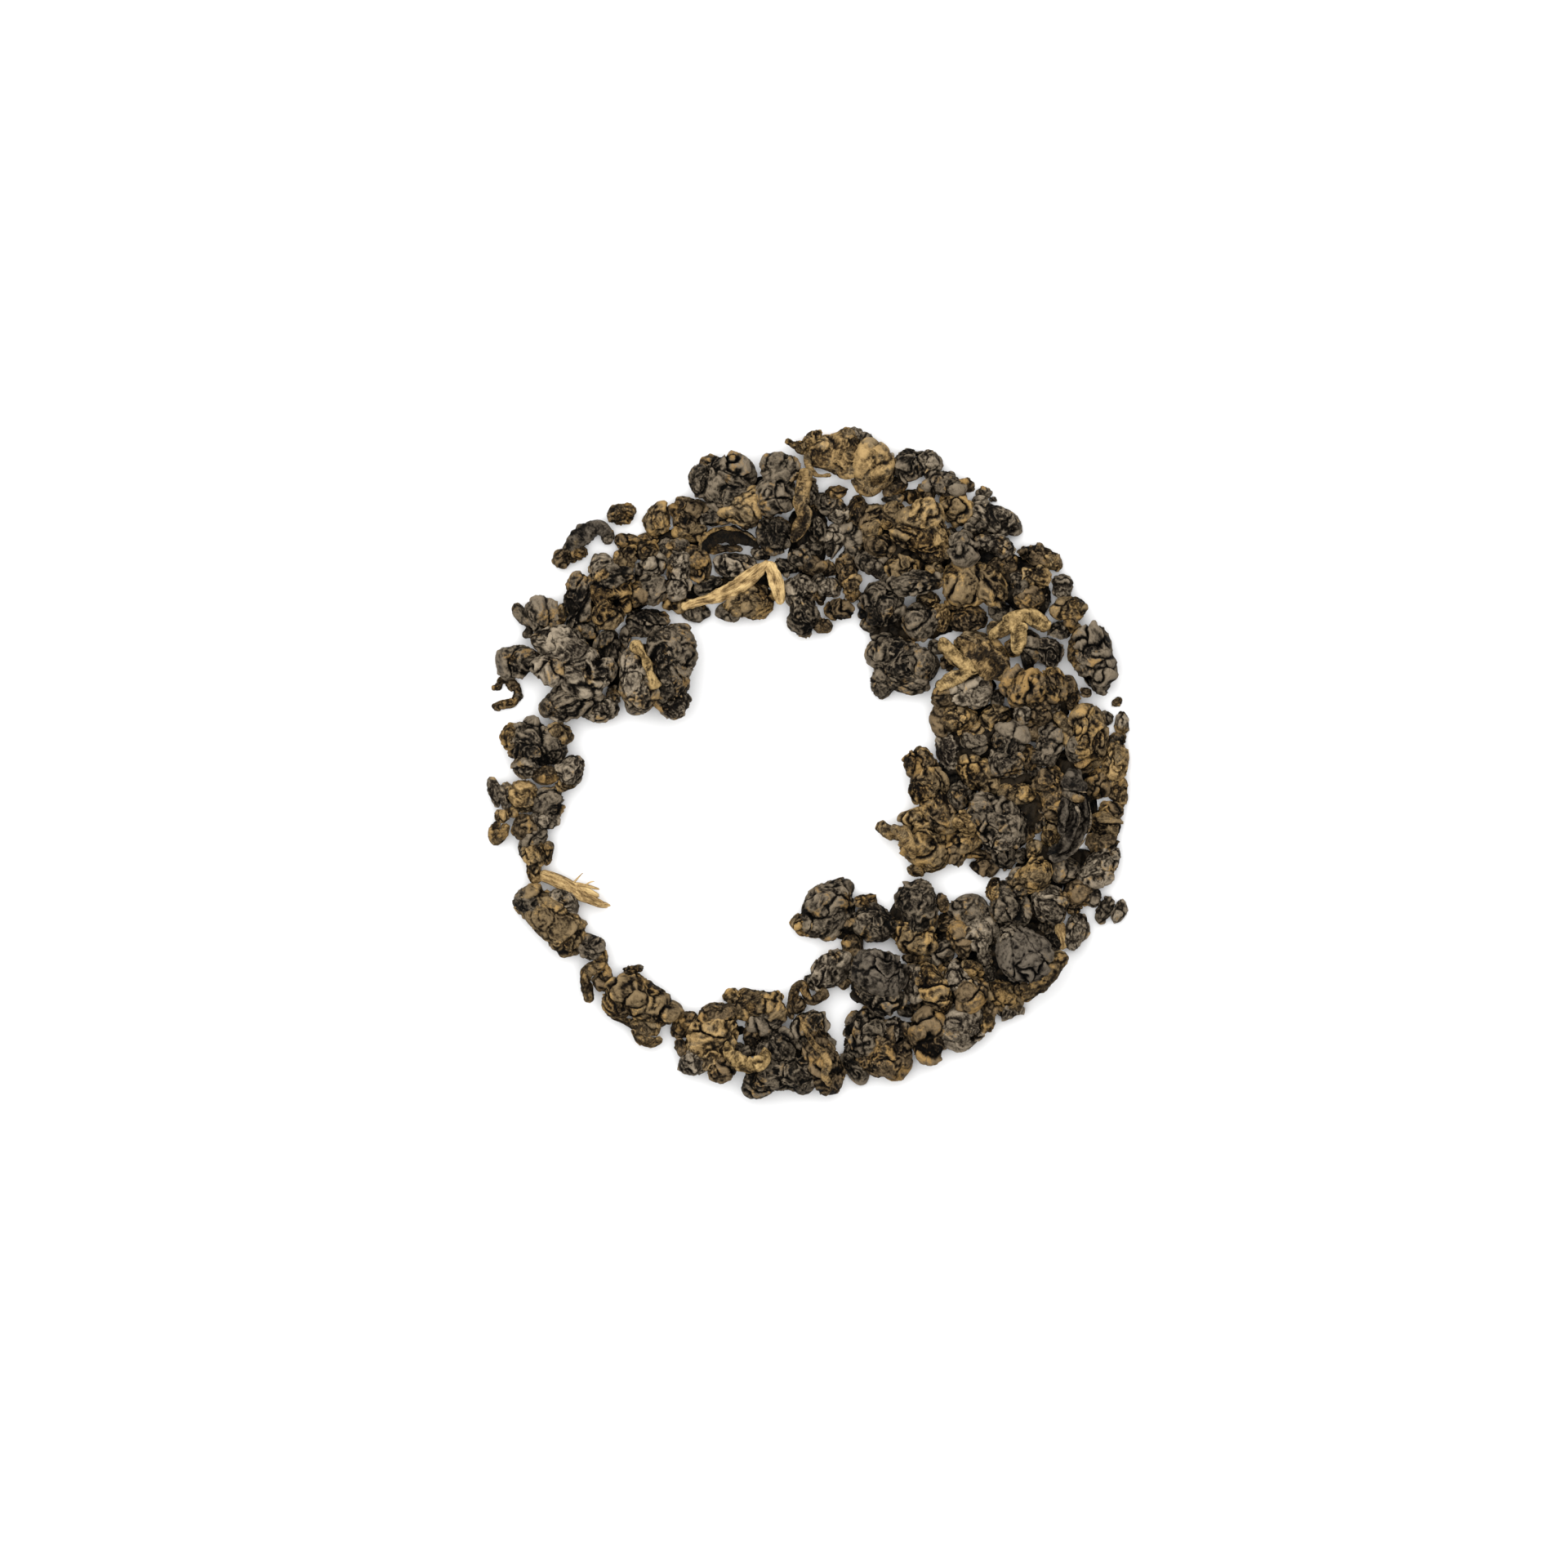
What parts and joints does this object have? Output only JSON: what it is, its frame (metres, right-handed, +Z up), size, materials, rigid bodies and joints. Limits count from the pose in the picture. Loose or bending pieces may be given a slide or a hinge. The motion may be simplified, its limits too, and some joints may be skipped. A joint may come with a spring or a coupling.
{
  "type": "heap of rolled oolong tea",
  "caption": "Ring-shaped heap of rolled dark oolong tea pellets with pale stem pieces, open in the middle and thinner on the left.",
  "frame": {"origin": "on the table, under the middle of the ring's bounding box", "axes": "+Z up from the table, +Y towards the top of the ring as seen from above, where the pale stalk piece is on the left"},
  "size_m": [0.0791, 0.0819, 0.0076],
  "materials": {
    "dark_leaf": "dry rolled leaf, charcoal to grey, wrinkled, with a faint sheen",
    "brown_leaf": "dry rolled leaf, brown with golden edges, wrinkled",
    "golden_leaf": "dry golden leaf and pale stalk, matt, lined along its length"
  },
  "bodies": {
    "root": {"tea_heap": "dark_leaf", "stalk_pellet": "golden_leaf", "left_pellet": "dark_leaf", "loose_hook": "brown_leaf", "loose_bud": "brown_leaf", "loose_curl": "brown_leaf", "right_pellet": "dark_leaf", "flake_gold": "golden_leaf", "flake_dark": "dark_leaf", "flake_long": "brown_leaf", "crumb_large": "dark_leaf", "crumb_small": "dark_leaf"}
  },
  "joints": []
}
